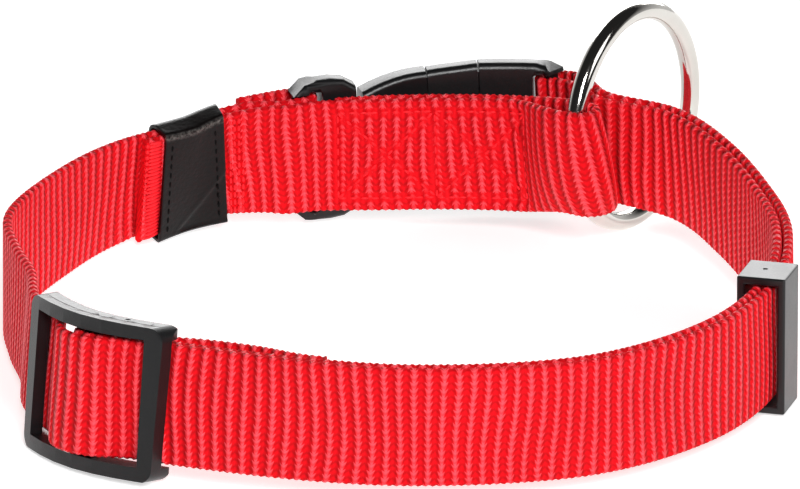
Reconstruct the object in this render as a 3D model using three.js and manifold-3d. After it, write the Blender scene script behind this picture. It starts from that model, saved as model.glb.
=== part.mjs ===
// Dog collar of nylon webbing with a relief loop, standing on its edge and closed.
// Millimetres, +Z up. The webbing stands upright and the loop is seen whole from above.
import * as THREE from 'three';
import { mergeVertices } from 'three/addons/utils/BufferGeometryUtils.js';
import Module from 'manifold-3d';

const wasm = await Module();
wasm.setup();

// Driving dimensions

const clearance = 0.35; // between any two pieces that lie on each other
const past = 3; // how far a cutting shape reaches beyond what it cuts
const webbing = { width: 25, thickness: 2, step: 4.5 };
const loop = { width: 162, depth: 182 }; // the middle of the doubled webbing, side to side and front to back
const glide = {
  length: 37.6, depth: 5.2, side: 4.8, rail: 2.9, play: 0.25, lip: 2.6, bar: 3, corner: 3, inset: 0.1,
  lean: 6,
};
const keeper = { length: 11.2, wall: 2, rail: 1.65, play: 1.5, edge: 0.5 };
const ring = { inner: 41, wire: 4.06, outset: 8.3, turn: 17, lean: 11 };
const sleeve = { length: 16, wall: 0.8, corner: 0.7 };
const buckle = {
  side: 3.15, depth: 5.9, belly: 3, rim: 0.9, bar: 3.2, endToBar: 2.6, lift: 4.6, block: 7.5, seam: 0.4,
  maleLength: 18.7, wall: 1.2, flange: 3, play: 1.5, button: 14.2, buttonTip: 25.6, sunk: 0.9, prong: 4.5,
};
const tails = { glide: 50, sag: 28, slack: 4.4, buckle: 13 }; // the sewn ends, past the bars they fold round
const fold = { reach: 14, flat: 2, settle: 60 }; // where the layers part before a bar, and where they settle
const relief = { start: 4.6, inset: 17.2, approach: 4.5, room: 0.25 };

// Sizes that follow from them

const pitch = webbing.thickness + clearance; // from one layer of webbing to the next
const half = { width: webbing.width / 2, layers: pitch / 2 };
const passage = webbing.width + 2 * clearance; // the height of every slot that the webbing runs through
const glideHeight = passage + 2 * (glide.rail + glide.play);
const keeperHeight = passage + 2 * keeper.rail;
const keeperThickness = 2 * (pitch + keeper.wall) + keeper.play;
const buckleHeight = passage + 2 * buckle.side;
const buckleSlot = buckle.bar / 2 + webbing.thickness + 2 * clearance; // from its bar's axis to its far wall
const buckleLength = buckle.maleLength + buckle.buttonTip + buckle.play + buckle.block + buckleSlot
  + buckle.endToBar;
const radians = THREE.MathUtils.degToRad;
const liftOf = (height, lean = 0) => (height * Math.cos(radians(lean)) - webbing.width) / 2;
const ringRadius = ring.inner / 2 + ring.wire;
const ringFloor = ringRadius - Math.sqrt((ring.inner / 2) ** 2 - (ring.outset + pitch) ** 2);

// How high the webbing's lower edge stands at the pieces it runs through, and where it all but lies on
// the floor.
const lifts = {
  glide: liftOf(glideHeight, glide.lean),
  keeper: liftOf(keeperHeight),
  ring: ringFloor + clearance,
  buckle: buckle.lift,
  floor: clearance,
};

// The loop from above, counter-clockwise from the tri-glide. Across and back are shares of half the
// loop's width and depth. Lean is how far the webbing tips inwards at its top, in degrees. Its lower
// edge stands above the height of the piece that it is near by the last column.
const loopPoints = [
  { name: 'glide', across: -0.76, back: -0.755, lean: glide.lean, near: 'glide', above: 0 },
  { across: -0.457, back: -0.897, lean: 9, near: 'glide', above: 0 },
  { across: 0, back: -0.993, lean: 2, near: 'keeper', above: 1 },
  { across: 0.46, back: -0.918, lean: 0, near: 'keeper', above: 0.6 },
  { across: 0.765, back: -0.67, lean: 0, near: 'keeper', above: 0.2 },
  { name: 'keeper', across: 0.922, back: -0.363, lean: 0, near: 'keeper', above: 0 },
  { across: 0.97, back: -0.022, lean: 1, near: 'keeper', above: 0.8 },
  { across: 0.928, back: 0.258, lean: 2, near: 'keeper', above: 1.3 },
  { across: 0.826, back: 0.522, lean: 3, near: 'ring', above: -1.6 },
  { across: 0.71, back: 0.714, lean: 7, near: 'ring', above: -0.4 },
  { name: 'ring', across: 0.546, back: 0.823, lean: ring.lean, near: 'ring', above: 0 },
  { across: 0.491, back: 0.925, lean: 6, near: 'ring', above: -0.6 },
  { across: 0.407, back: 1.005, lean: 0, near: 'buckle', above: 0.9 },
  { name: 'buckle', across: 0.068, back: 1, lean: 0, near: 'buckle', above: 0 },
  { across: -0.272, back: 0.93, lean: 3, near: 'buckle', above: -0.6 },
  { across: -0.44, back: 0.875, lean: 12, near: 'buckle', above: -0.9 },
  { name: 'sleeve', across: -0.56, back: 0.829, lean: 18, near: 'floor', above: 1.9 },
  { across: -0.72, back: 0.722, lean: 9, near: 'floor', above: 0.3 },
  { across: -0.852, back: 0.533, lean: 3, near: 'floor', above: 0.1 },
  { across: -0.993, back: 0.187, lean: 0, near: 'floor', above: 0 },
  { across: -0.973, back: -0.088, lean: 2, near: 'floor', above: 0.6 },
  { across: -0.934, back: -0.28, lean: 4, near: 'glide', above: -1.6 },
  { across: -0.902, back: -0.51, lean: 5, near: 'glide', above: -0.7 },
];

const plan = new THREE.CatmullRomCurve3(
  loopPoints.map((p) => new THREE.Vector3((p.across * loop.width) / 2, (p.back * loop.depth) / 2, 0)),
  true, 'centripetal');
const rise = new THREE.CatmullRomCurve3(
  loopPoints.map((p) => new THREE.Vector3(p.lean, lifts[p.near] + p.above, 0)), true, 'centripetal');

// A table of the loop by length, so that a piece can be placed by how far round it lies. Every point of
// the loop falls on one of its samples.
const samples = loopPoints.length * 60;
const lengths = plan.getLengths(samples);
const loopLength = lengths[samples];
const wrap = (value, size) => ((value % size) + size) % size;

function shareAt(along) {
  const s = wrap(along, loopLength);
  let low = 0;
  let high = samples;
  while (high - low > 1) {
    const middle = (low + high) >> 1;
    if (lengths[middle] <= s) low = middle;
    else high = middle;
  }
  return (low + (s - lengths[low]) / (lengths[high] - lengths[low])) / samples;
}

function pointNamed(name) {
  return lengths[Math.round((loopPoints.findIndex((p) => p.name === name) / loopPoints.length) * samples)];
}

// How steeply the webbing climbs along the loop, as an angle.
function climbAt(along) {
  const lower = rise.getPoint(shareAt(along - webbing.step)).y;
  const higher = rise.getPoint(shareAt(along + webbing.step)).y;
  return Math.atan2(higher - lower, 2 * webbing.step);
}

// Where a point lies in space: along the loop, out from its middle plane, and up from its middle height.
// The webbing is never sheared, so where it climbs, its upper edge is tipped back.
function onLoop(along, out, up) {
  const share = shareAt(along);
  const point = plan.getPoint(share);
  const run = plan.getTangent(share);
  const outward = new THREE.Vector3(run.y, -run.x, 0);
  const { x: leanDegrees, y: lift } = rise.getPoint(share);
  const lean = radians(leanDegrees);
  const climb = climbAt(along);
  point.addScaledVector(outward, out * Math.cos(lean) - up * Math.sin(lean) * Math.cos(climb));
  point.addScaledVector(run, -up * Math.sin(climb));
  point.z = lift + half.width + up * Math.cos(lean) * Math.cos(climb) + out * Math.sin(lean);
  return point;
}

const at = {
  glide: pointNamed('glide'),
  keeper: pointNamed('keeper'),
  ring: pointNamed('ring'),
  buckle: pointNamed('buckle'),
  sleeve: pointNamed('sleeve'),
};
at.maleBar = at.buckle - buckleLength / 2 + buckle.endToBar;
at.femaleBar = at.buckle + buckleLength / 2 - buckle.endToBar;
at.seam = at.buckle - buckleLength / 2 + buckle.maleLength;

// Helpers for solids

function bare(geometry) {
  geometry.deleteAttribute('normal');
  geometry.deleteAttribute('uv');
  return mergeVertices(geometry, 1e-4);
}

function moveEach(geometry, place) {
  const positions = geometry.attributes.position;
  const corner = new THREE.Vector3();
  for (let i = 0; i < positions.count; i++) {
    corner.fromBufferAttribute(positions, i);
    const moved = place(corner, i);
    positions.setXYZ(i, moved.x, moved.y, moved.z);
  }
  return geometry;
}

// A box in loop measures, cut into slices along the loop and bent onto it. Its corners may be
// reshaped by the warp before they are bent.
function bentBox({ from, to, inside, outside, low, high }, slices = 1, rows = 1, warp = (p) => p) {
  const box = bare(new THREE.BoxGeometry(1, 1, 1, slices, 1, rows));
  moveEach(box, (p) => {
    const local = warp(new THREE.Vector3(
      THREE.MathUtils.lerp(from, to, p.x + 0.5),
      THREE.MathUtils.lerp(inside, outside, p.y + 0.5),
      THREE.MathUtils.lerp(low, high, p.z + 0.5)));
    return onLoop(local.x, local.y, local.z);
  });
  return faceOut(box);
}

// Turns a closed shape's faces out if its signed volume says that they point in.
function faceOut(geometry) {
  const positions = geometry.attributes.position;
  const index = geometry.index;
  const corner = [0, 1, 2].map(() => new THREE.Vector3());
  let volume = 0;
  for (let i = 0; i < index.count; i += 3) {
    corner.forEach((c, k) => c.fromBufferAttribute(positions, index.getX(i + k)));
    volume += corner[0].dot(corner[1].clone().cross(corner[2]));
  }
  if (volume < 0) {
    for (let i = 0; i < index.count; i += 3) {
      const first = index.getX(i);
      index.setX(i, index.getX(i + 1));
      index.setX(i + 1, first);
    }
  }
  return geometry;
}

function toSolid(geometry) {
  const merged = geometry.index ? geometry : mergeVertices(geometry);
  return new wasm.Manifold(new wasm.Mesh({
    numProp: 3,
    vertProperties: new Float32Array(merged.attributes.position.array),
    triVerts: new Uint32Array(merged.index.array),
  }));
}

function toGeometry(solid) {
  const mesh = solid.getMesh();
  const geometry = new THREE.BufferGeometry();
  geometry.setAttribute('position', new THREE.BufferAttribute(mesh.vertProperties, 3));
  geometry.setIndex(new THREE.BufferAttribute(mesh.triVerts, 1));
  return geometry;
}

// A round bar that stands across the webbing, from one rail to the other.
function barAcross(along, out, diameter, height) {
  const bar = bare(new THREE.CylinderGeometry(diameter / 2, diameter / 2, height, 16));
  return toSolid(faceOut(moveEach(bar, (p) => onLoop(along + p.x, out + p.z, p.y))));
}

// Webbing: a flat strip whose middle surface runs through the given rows of points, lowest row first.
function strip(rows) {
  const steps = rows[0].length - 1;
  const box = bare(new THREE.BoxGeometry(steps, rows.length - 1, 2, steps, rows.length - 1, 1));
  const ahead = new THREE.Vector3();
  const across = new THREE.Vector3();
  return faceOut(moveEach(box, (p) => {
    const i = Math.round(p.x + steps / 2);
    const r = Math.round(p.y + (rows.length - 1) / 2);
    ahead.subVectors(rows[r][Math.min(i + 1, steps)], rows[r][Math.max(i - 1, 0)]);
    across.subVectors(rows[rows.length - 1][i], rows[0][i]);
    const face = ahead.cross(across).normalize();
    return rows[r][i].clone().addScaledVector(face, (p.z * webbing.thickness) / 2);
  }));
}

// The main strap is one length of webbing. Its run is drawn in loop measures: along the loop and out
// from its middle plane.
function strapRun() {
  const g = at.glide;
  const b = at.femaleBar - loopLength;
  const barOut = glide.bar / 2 - glide.inset;
  const hug = {
    glide: (glide.bar + webbing.thickness) / 2 + clearance,
    buckle: (buckle.bar + webbing.thickness) / 2 + clearance,
  };
  const windowHalf = glide.length / 2 - glide.side;
  const tail = -half.layers - pitch;
  const run = new THREE.Path();
  // an S-bend that leaves and arrives along the loop
  const bend = (along, out) => {
    const { x, y } = run.currentPoint;
    run.bezierCurveTo((x + along) / 2, y, (x + along) / 2, out, along, out);
  };
  // the sewn end, from its cut edge back to the centre bar of the tri-glide and round it
  run.moveTo(g + tails.glide, tail);
  bend(g + tails.sag, tail - tails.slack);
  bend(g + fold.flat, barOut - hug.glide);
  run.lineTo(g, barOut - hug.glide);
  run.absarc(g, barOut, hug.glide, 1.5 * Math.PI, 0.5 * Math.PI, true);
  bend(g + windowHalf, -half.layers);
  // the inner layer: front, keeper, right side, ring and round the bar of the male buckle half
  run.lineTo(at.maleBar - fold.reach, -half.layers);
  bend(at.maleBar - fold.flat, -hug.buckle);
  run.lineTo(at.maleBar, -hug.buckle);
  run.absarc(at.maleBar, 0, hug.buckle, 1.5 * Math.PI, 2.5 * Math.PI, false);
  bend(at.maleBar - fold.reach, half.layers);
  // the outer layer, back over the centre bar of the tri-glide
  run.lineTo(g + windowHalf, half.layers);
  bend(g, barOut + hug.glide + pitch);
  bend(g - windowHalf, half.layers);
  // the single layer: left side, sleeve and round the bar of the female buckle half
  bend(g - fold.settle, 0);
  run.lineTo(b + fold.reach, 0);
  bend(b + fold.flat, -hug.buckle);
  run.lineTo(b, -hug.buckle);
  run.absarc(b, 0, hug.buckle, 1.5 * Math.PI, 0.5 * Math.PI, true);
  bend(b + tails.buckle, pitch);
  return run;
}

// Points along a drawn run: straight stretches in even steps, bends in finer ones.
function stationsOf(run) {
  const stations = [];
  for (const piece of run.curves) {
    const even = Math.round(piece.getLength() / webbing.step);
    const least = piece.isLineCurve ? 1 : piece.isEllipseCurve ? 10 : 8;
    piece.getPoints(Math.max(least, even)).forEach((p, i) => {
      if (i > 0 || stations.length === 0) stations.push(p);
    });
  }
  return stations;
}

function mainStrap() {
  const stations = stationsOf(strapRun());
  const heights = [-half.width, 0, half.width];
  return strip(heights.map((up) => stations.map((p) => onLoop(p.x, p.y, up))));
}

// The ring stands upright, with the strap through it, and turned a little from square to the strap.
function ringPlace() {
  const foot = onLoop(at.ring, 0, 0);
  const behind = onLoop(at.ring, 1, 0).sub(foot).setZ(0).normalize();
  const out = behind.clone().applyAxisAngle(new THREE.Vector3(0, 0, 1), radians(ring.turn));
  const run = new THREE.Vector3(out.y, -out.x, 0);
  const centre = foot.clone().addScaledVector(out, ring.outset).setZ(ringRadius);
  return { centre, out, run };
}

// The ring's inner arm, cut level at a height: how far it lies from the ring's centre, and its half width.
function armAt(height) {
  const rise = height - ringRadius;
  const far = Math.sqrt(ringRadius ** 2 - rise ** 2);
  const near = Math.sqrt((ring.inner / 2) ** 2 - rise ** 2);
  return { reach: (far + near) / 2, half: (far - near) / 2 };
}

// The relief strap runs inside the buckle from the sleeve to the ring, folds round the ring's inner arm
// and comes back behind itself to the first line of the box stitch. Along is a share of half the
// buckle's length, from its middle. In is a share of how far inside the loop the strap lies by the ring.
const reliefFront = [
  { along: 0.4, in: 0.547 },
  { along: 0, in: 0.709 },
  { along: -0.4, in: 0.884 },
  { along: -0.66, in: 1 },
];
const reliefBack = [
  { along: -0.8, in: 0.866 },
  { along: -0.43, in: 0.738 },
  { along: 0, in: 0.57 },
  { along: 0.4, in: 0.407 },
  { along: 0.7, in: 0.32 },
];
const foldSteps = 8;

function reliefStrap() {
  const { centre, out, run } = ringPlace();
  const levelAt = (up) => lifts.ring + half.width + up * Math.cos(radians(ring.lean));
  const lowArm = armAt(levelAt(-half.width));
  const highArm = armAt(levelAt(half.width));
  const beforeBar = -pitch - buckle.bar / 2;
  const row = (up) => {
    const points = [];
    const put = (along, outward) => points.push(onLoop(along, outward, up));
    const putRow = (p) => put(at.buckle + (p.along * buckleLength) / 2, -p.in * relief.inset);
    for (const share of [0, 0.25, 0.5, 0.75, 1]) {
      put(at.sleeve + sleeve.length * (0.5 - share) + relief.start * (1 - share), -pitch);
    }
    put(at.femaleBar + sleeve.length / 2, beforeBar);
    put(at.femaleBar + buckle.prong, beforeBar - webbing.thickness + clearance);
    put(at.femaleBar - fold.flat, beforeBar - webbing.thickness);
    reliefFront.forEach(putRow);
    const height = levelAt(up);
    const arm = armAt(height);
    const wide = arm.half + relief.room + clearance + webbing.thickness / 2;
    const deep = ring.wire / 2 + relief.room + clearance + webbing.thickness / 2;
    // the back layer stands straight from its lower edge to its upper one, so it leaves the arm between
    const chord = THREE.MathUtils.lerp(lowArm.reach, highArm.reach, up / webbing.width + 0.5);
    const slack = arm.reach - chord;
    for (let k = -1; k <= foldSteps + 1; k++) {
      const turn = (Math.PI * THREE.MathUtils.clamp(k, 0, foldSteps)) / foldSteps;
      const before = k < 0 || k > foldSteps ? relief.approach : 0;
      const behind = (slack * (1 - Math.cos(turn))) / 2;
      points.push(centre.clone().setZ(height)
        .addScaledVector(out, behind - arm.reach - Math.cos(turn) * wide)
        .addScaledVector(run, Math.sin(turn) * (deep + slack / 2) - before));
    }
    reliefBack.forEach(putRow);
    return new THREE.CatmullRomCurve3(points, false, 'centripetal').getPoints((points.length - 1) * 2);
  };
  return strip([-1, -0.5, 0, 0.5, 1].map((share) => row(share * half.width)));
}

// Tri-glide: a bowed plate with a window, hollowed behind its side bars so that the webbing slips under
// them, and a round bar across the middle that lies flush with its back.
function triGlide() {
  const back = -glide.inset;
  const front = back + glide.depth;
  const reach = glide.length / 2;
  const side = { from: at.glide - reach, to: at.glide + reach };
  const window = { from: side.from + glide.side, to: side.to - glide.side };
  const inner = glideHeight / 2 - glide.rail;
  const plate = toSolid(bentBox(
    { ...side, inside: back, outside: front, low: -glideHeight / 2, high: glideHeight / 2 }, 8));
  const hole = toSolid(bentBox(
    { ...window, inside: back - past, outside: front + past, low: -inner, high: inner }, 6));
  const hollow = toSolid(bentBox({
    from: side.from - past, to: side.to + past, inside: back - past, outside: front - glide.lip,
    low: -inner, high: inner,
  }, 9));
  const outline = roundedOutline(glide.length, glideHeight, glide.corner);
  const blank = bare(new THREE.ExtrudeGeometry(outline, {
    depth: 2 * reach, bevelEnabled: false, curveSegments: 4,
  }));
  const trim = toSolid(faceOut(standAt(blank, at.glide, -reach)));
  const bar = barAcross(at.glide, back + glide.bar / 2, glide.bar, glideHeight - glide.rail);
  return toGeometry(plate.intersect(trim).subtract(hole).subtract(hollow).add(bar));
}

function roundedOutline(length, height, radius) {
  const x = length / 2;
  const y = height / 2;
  const outline = new THREE.Shape();
  outline.moveTo(-x + radius, -y);
  outline.lineTo(x - radius, -y);
  outline.absarc(x - radius, -y + radius, radius, -Math.PI / 2, 0);
  outline.lineTo(x, y - radius);
  outline.absarc(x - radius, y - radius, radius, 0, Math.PI / 2);
  outline.lineTo(-x + radius, y);
  outline.absarc(-x + radius, y - radius, radius, Math.PI / 2, Math.PI);
  outline.lineTo(-x, -y + radius);
  outline.absarc(-x + radius, -y + radius, radius, Math.PI, 1.5 * Math.PI);
  return outline;
}

// Stands a straight, unbent shape on the loop: its X runs along, its Y up and its Z out.
function standAt(geometry, along, outStart) {
  const origin = onLoop(along, 0, 0);
  const outward = onLoop(along, 1, 0).sub(origin).normalize();
  const upward = onLoop(along, 0, 1).sub(origin).normalize();
  const ahead = upward.clone().cross(outward).normalize();
  return moveEach(geometry, (p) => origin.clone()
    .addScaledVector(ahead, p.x)
    .addScaledVector(upward, p.y)
    .addScaledVector(outward, p.z + outStart));
}

// Keeper: a short square tube with bevelled ends that holds the layers together.
function keeperLoop() {
  const outline = roundedOutline(keeperThickness, keeperHeight, keeper.edge);
  const slot = roundedOutline(keeperThickness - 2 * keeper.wall, passage, keeper.edge);
  outline.holes.push(slot);
  const tube = bare(new THREE.ExtrudeGeometry(outline, {
    depth: keeper.length - keeper.edge,
    bevelThickness: keeper.edge / 2,
    bevelSize: keeper.edge / 2,
    bevelOffset: -keeper.edge / 2,
    bevelSegments: 1,
    curveSegments: 2,
  }));
  tube.translate(0, 0, -(keeper.length - keeper.edge) / 2);
  tube.rotateY(Math.PI / 2);
  return faceOut(standAt(tube, at.keeper, 0));
}

// Sleeve: a band of vinyl round the strap and the start of the relief strap.
function sleevePatch() {
  const middle = -half.layers;
  const gap = webbing.thickness / 2 + half.layers + clearance;
  const inner = half.width + clearance;
  const ends = { from: at.sleeve - sleeve.length / 2, to: at.sleeve + sleeve.length / 2 };
  const thick = gap + sleeve.wall;
  const tall = inner + sleeve.wall;
  const chamfer = (p) => {
    const outermost = Math.abs(p.z) > inner;
    if (outermost) p.y += Math.sign(middle - p.y) * sleeve.corner;
    else p.z = Math.sign(p.z) * (tall - sleeve.corner);
    return p;
  };
  const skin = toSolid(bentBox(
    { ...ends, inside: middle - thick, outside: middle + thick, low: -tall, high: tall }, 5, 3, chamfer));
  const room = toSolid(bentBox({
    from: ends.from - past, to: ends.to + past, inside: middle - gap, outside: middle + gap,
    low: -inner, high: inner,
  }, 7));
  return toGeometry(skin.subtract(room));
}

// The buckle's outside: how tall it is at a share of its length from the male end, and how far its
// outer face swells.
const buckleSections = [
  { share: 0, tall: 0.86, swell: 0 },
  { share: 0.06, tall: 0.97, swell: 0.25 },
  { share: 0.31, tall: 1.01, swell: 1 },
  { share: 0.5, tall: 0.96, swell: 0.9 },
  { share: 0.735, tall: 0.79, swell: 0.4 },
  { share: 0.8, tall: 0.95, swell: 0.3 },
  { share: 0.87, tall: 0.99, swell: 0.3 },
  { share: 0.95, tall: 0.95, swell: 0.15 },
  { share: 1, tall: 0.78, swell: 0 },
];

function sectionAt(place) {
  const share = THREE.MathUtils.clamp(place, 0, 1);
  const next = Math.max(1, buckleSections.findIndex((row) => row.share >= share));
  const a = buckleSections[next - 1];
  const b = buckleSections[next];
  const mix = THREE.MathUtils.clamp((share - a.share) / (b.share - a.share), 0, 1);
  const { lerp } = THREE.MathUtils;
  return { tall: lerp(a.tall, b.tall, mix), swell: lerp(a.swell, b.swell, mix) };
}

const buckleInside = -(buckle.bar / 2 + webbing.thickness + clearance);
const buckleOutside = buckleInside + buckle.depth;

function buckleBlock(from, to, slices) {
  return toSolid(bentBox(
    { from, to, inside: buckleInside, outside: buckleOutside, low: -0.5, high: 0.5 }, slices, 8, (p) => {
      const share = (p.x - at.buckle) / buckleLength + 0.5;
      const { tall, swell } = sectionAt(share);
      const round = 1 - (2 * p.z) ** 4;
      if (p.y > 0) p.y += buckle.belly * swell * round - buckle.rim * (1 - round);
      else p.y += (buckle.rim / 2) * (1 - round);
      p.z *= buckleHeight * tall;
      return p;
    }));
}

// The webbing end of either half: a slot through the block, with the bar left across it.
function cutForBar(block, barAt, towardsMiddle) {
  const ends = [barAt - towardsMiddle * (buckle.endToBar + past), barAt + towardsMiddle * buckleSlot];
  const slot = toSolid(bentBox({
    from: Math.min(...ends), to: Math.max(...ends), inside: buckleInside - past,
    outside: buckleOutside + buckle.belly + past, low: -passage / 2, high: passage / 2,
  }, 4));
  return block.subtract(slot).add(barAcross(barAt, 0, buckle.bar, passage + 2 * clearance));
}

const cavity = {
  inside: buckleInside + buckle.wall,
  outside: buckleOutside - buckle.wall,
  high: buckleHeight / 2 - buckle.flange,
};
const tip = at.seam + buckle.buttonTip;
const shoulder = tip - buckle.button;

function femaleHalf() {
  const mouth = at.seam + buckle.seam;
  const deep = tip + buckle.play;
  let body = buckleBlock(mouth, at.buckle + buckleLength / 2, 14);
  body = cutForBar(body, at.femaleBar, -1);
  body = body.subtract(toSolid(bentBox({
    from: mouth - past, to: deep, inside: cavity.inside, outside: cavity.outside,
    low: -cavity.high, high: cavity.high,
  }, 8)));
  for (const side of [-1, 1]) {
    const rows = [side * (cavity.high - buckle.prong - clearance), side * buckleHeight];
    body = body.subtract(toSolid(bentBox({
      from: shoulder - clearance, to: deep, inside: buckleInside - past,
      outside: buckleOutside + buckle.belly + past, low: Math.min(...rows), high: Math.max(...rows),
    }, 5)));
  }
  return toGeometry(body);
}

// The male half: two prongs that end in the buttons at the buckle's edges, and a guide between them.
function maleHalf() {
  let body = buckleBlock(at.buckle - buckleLength / 2, at.seam, 7);
  body = cutForBar(body, at.maleBar, 1);
  const thin = { inside: cavity.inside + clearance, outside: cavity.outside - clearance };
  const root = at.seam - past;
  for (const side of [-1, 1]) {
    const rows = [side * (cavity.high - buckle.prong), side * (cavity.high - clearance)];
    const arm = { from: root, to: shoulder + past, low: Math.min(...rows), high: Math.max(...rows) };
    body = body.add(toSolid(bentBox({ ...thin, ...arm }, 4)));
    const leaf = (p) => {
      const share = (p.x - shoulder) / buckle.button;
      const highest = buckleHeight / 2 - buckle.sunk;
      const outer = THREE.MathUtils.lerp(highest, cavity.high - buckle.wall, share ** 2);
      p.z = side * (p.z > 0 ? outer : cavity.high - buckle.prong);
      return p;
    };
    body = body.add(toSolid(bentBox({
      from: shoulder, to: tip, inside: buckleInside + clearance, outside: buckleOutside + clearance,
      low: -1, high: 1,
    }, 6, 1, leaf)));
  }
  const guide = { from: root, to: shoulder + buckle.prong, low: -buckle.prong / 2, high: buckle.prong / 2 };
  return toGeometry(body.add(toSolid(bentBox({ ...thin, ...guide }, 4))));
}

// Assembly

const nylon = { color: '#d8081c', roughness: 0.62, metalness: 0 };
const plastic = { color: '#26262a', roughness: 0.5, metalness: 0 };
const finishes = {
  nylon: () => new THREE.MeshStandardMaterial(nylon),
  plastic: () => new THREE.MeshStandardMaterial(plastic),
  vinyl: () => new THREE.MeshStandardMaterial({ color: '#1b1719', roughness: 0.3, metalness: 0 }),
  nickel: () => new THREE.MeshStandardMaterial({ color: '#cfcac2', roughness: 0.12, metalness: 1 }),
};

const collar = new THREE.Group();
function addPiece(name, geometry, finish) {
  const mesh = new THREE.Mesh(geometry, finishes[finish]());
  mesh.name = name;
  collar.add(mesh);
  return mesh;
}

addPiece('main_strap', mainStrap(), 'nylon');
addPiece('relief_strap', reliefStrap(), 'nylon');
addPiece('tri_glide', triGlide(), 'plastic');
addPiece('keeper', keeperLoop(), 'plastic');
addPiece('sleeve_patch', sleevePatch(), 'vinyl');
addPiece('buckle_female', femaleHalf(), 'plastic');
addPiece('buckle_male', maleHalf(), 'plastic');

const { centre: ringCentre, run: ringAxis } = ringPlace();
const leashRing = addPiece('leash_ring',
  bare(new THREE.TorusGeometry((ring.inner + ring.wire) / 2, ring.wire / 2, 12, 44)), 'nickel');
leashRing.position.copy(ringCentre);
leashRing.quaternion.setFromUnitVectors(new THREE.Vector3(0, 0, 1), ringAxis);

// The origin is on the floor, under the middle of the whole collar.
const bounds = new THREE.Box3().setFromObject(collar, true);
const middle = bounds.getCenter(new THREE.Vector3());
collar.position.set(-middle.x, -middle.y, -bounds.min.z);
collar.updateMatrixWorld(true);

export default collar;
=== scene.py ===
# %% [markdown]
# # A closed webbing dog collar
# The collar is built round the imported CAD model, which is loaded first and never moved. Its box is kept.

import math

import bmesh
import bpy
import numpy as np
from mathutils import Euler, Matrix, Vector


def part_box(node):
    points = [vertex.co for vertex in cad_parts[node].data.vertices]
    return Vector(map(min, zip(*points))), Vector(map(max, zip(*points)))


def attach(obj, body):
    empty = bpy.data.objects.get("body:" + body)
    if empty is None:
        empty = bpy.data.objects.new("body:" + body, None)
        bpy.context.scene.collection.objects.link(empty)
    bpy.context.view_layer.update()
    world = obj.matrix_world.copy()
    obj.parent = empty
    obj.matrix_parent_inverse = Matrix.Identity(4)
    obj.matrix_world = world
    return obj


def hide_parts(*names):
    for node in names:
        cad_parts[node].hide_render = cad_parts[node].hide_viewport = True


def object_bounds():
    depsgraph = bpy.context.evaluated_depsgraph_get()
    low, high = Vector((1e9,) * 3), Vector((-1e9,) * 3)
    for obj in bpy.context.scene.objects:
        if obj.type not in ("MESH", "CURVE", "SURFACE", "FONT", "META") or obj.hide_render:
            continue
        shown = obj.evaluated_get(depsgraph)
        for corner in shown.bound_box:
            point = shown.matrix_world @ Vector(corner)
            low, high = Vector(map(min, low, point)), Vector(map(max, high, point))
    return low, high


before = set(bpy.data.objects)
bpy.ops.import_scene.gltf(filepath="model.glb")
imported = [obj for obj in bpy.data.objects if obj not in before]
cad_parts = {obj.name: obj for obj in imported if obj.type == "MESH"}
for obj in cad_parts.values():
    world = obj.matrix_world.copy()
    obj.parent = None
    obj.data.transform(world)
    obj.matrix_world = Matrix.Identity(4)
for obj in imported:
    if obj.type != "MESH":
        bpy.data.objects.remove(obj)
cad_box = [list(corner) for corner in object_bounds()]
print("CAD box", [[round(v, 4) for v in corner] for corner in cad_box])

# %% [markdown]
# ## The sizes
# These are the collar's own sizes in millimetres, the same that the CAD model was made with. The pieces
# below are bent onto the same loop, so they need the same numbers to lie where the solids lie. PITCH is
# the distance from one layer of webbing to the next, and LAYER is how far each layer of a pair lies from
# the middle. LIFTS says how high the webbing's lower edge stands at each fitting.

# %% Sizes in millimetres
MM = 0.001
CLEARANCE = 0.35
NO_TWINS = 0.001 * MM
WEB = {"width": 25, "thickness": 2, "step": 4.5}
LOOP = {"width": 162, "depth": 182}
GLIDE = {"length": 37.6, "height": 32, "side": 4.8, "bar": 3, "inset": 0.1, "lean": 6}
KEEPER = {"length": 11.2, "height": 29, "thickness": 10.2, "rounding": 0.42}
RING = {"inner": 41, "wire": 4.06, "outset": 8.3, "turn": 17, "lean": 11}
SLEEVE = {"length": 16, "wall": 0.8}
BUCKLE = {"length": 60.2, "bar": 3.2, "end_to_bar": 2.6, "lift": 4.6, "prong": 4.5, "male": 18.7,
          "button": 11.4}
TAILS = {"glide": 50, "sag": 28, "slack": 4.4, "buckle": 13}
FOLD = {"reach": 14, "flat": 2, "settle": 60}
RELIEF = {"start": 4.6, "inset": 17.2, "approach": 4.5, "room": 0.25}
BOX = {"from": 44.7, "length": 20.6, "high": 9.5, "depth": 0.55, "width": 1.0}

PITCH = WEB["thickness"] + CLEARANCE
LAYER = PITCH / 2
HALF_WIDTH = WEB["width"] / 2
PASSAGE = WEB["width"] + 2 * CLEARANCE


def lift_of(height, lean=0):
    """How high the webbing's lower edge stands in a fitting of that height."""
    return (height * math.cos(math.radians(lean)) - WEB["width"]) / 2


RING_RADIUS = RING["inner"] / 2 + RING["wire"]
RING_FLOOR = RING_RADIUS - math.sqrt((RING["inner"] / 2) ** 2 - (RING["outset"] + PITCH) ** 2)
LIFTS = {"glide": lift_of(GLIDE["height"], GLIDE["lean"]), "keeper": lift_of(KEEPER["height"]),
         "ring": RING_FLOOR + CLEARANCE, "buckle": BUCKLE["lift"], "floor": CLEARANCE}
print("webbing stands at", {name: round(value, 2) for name, value in LIFTS.items()})

# %% [markdown]
# ## The loop
# Seen from above, the collar follows a closed curve through 23 points. Each row gives the point's place
# as shares of half the loop's size, the webbing's lean in degrees and the height of its lower edge. A
# curve through points was chosen over circular arcs because real webbing bends freely between fittings.

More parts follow.
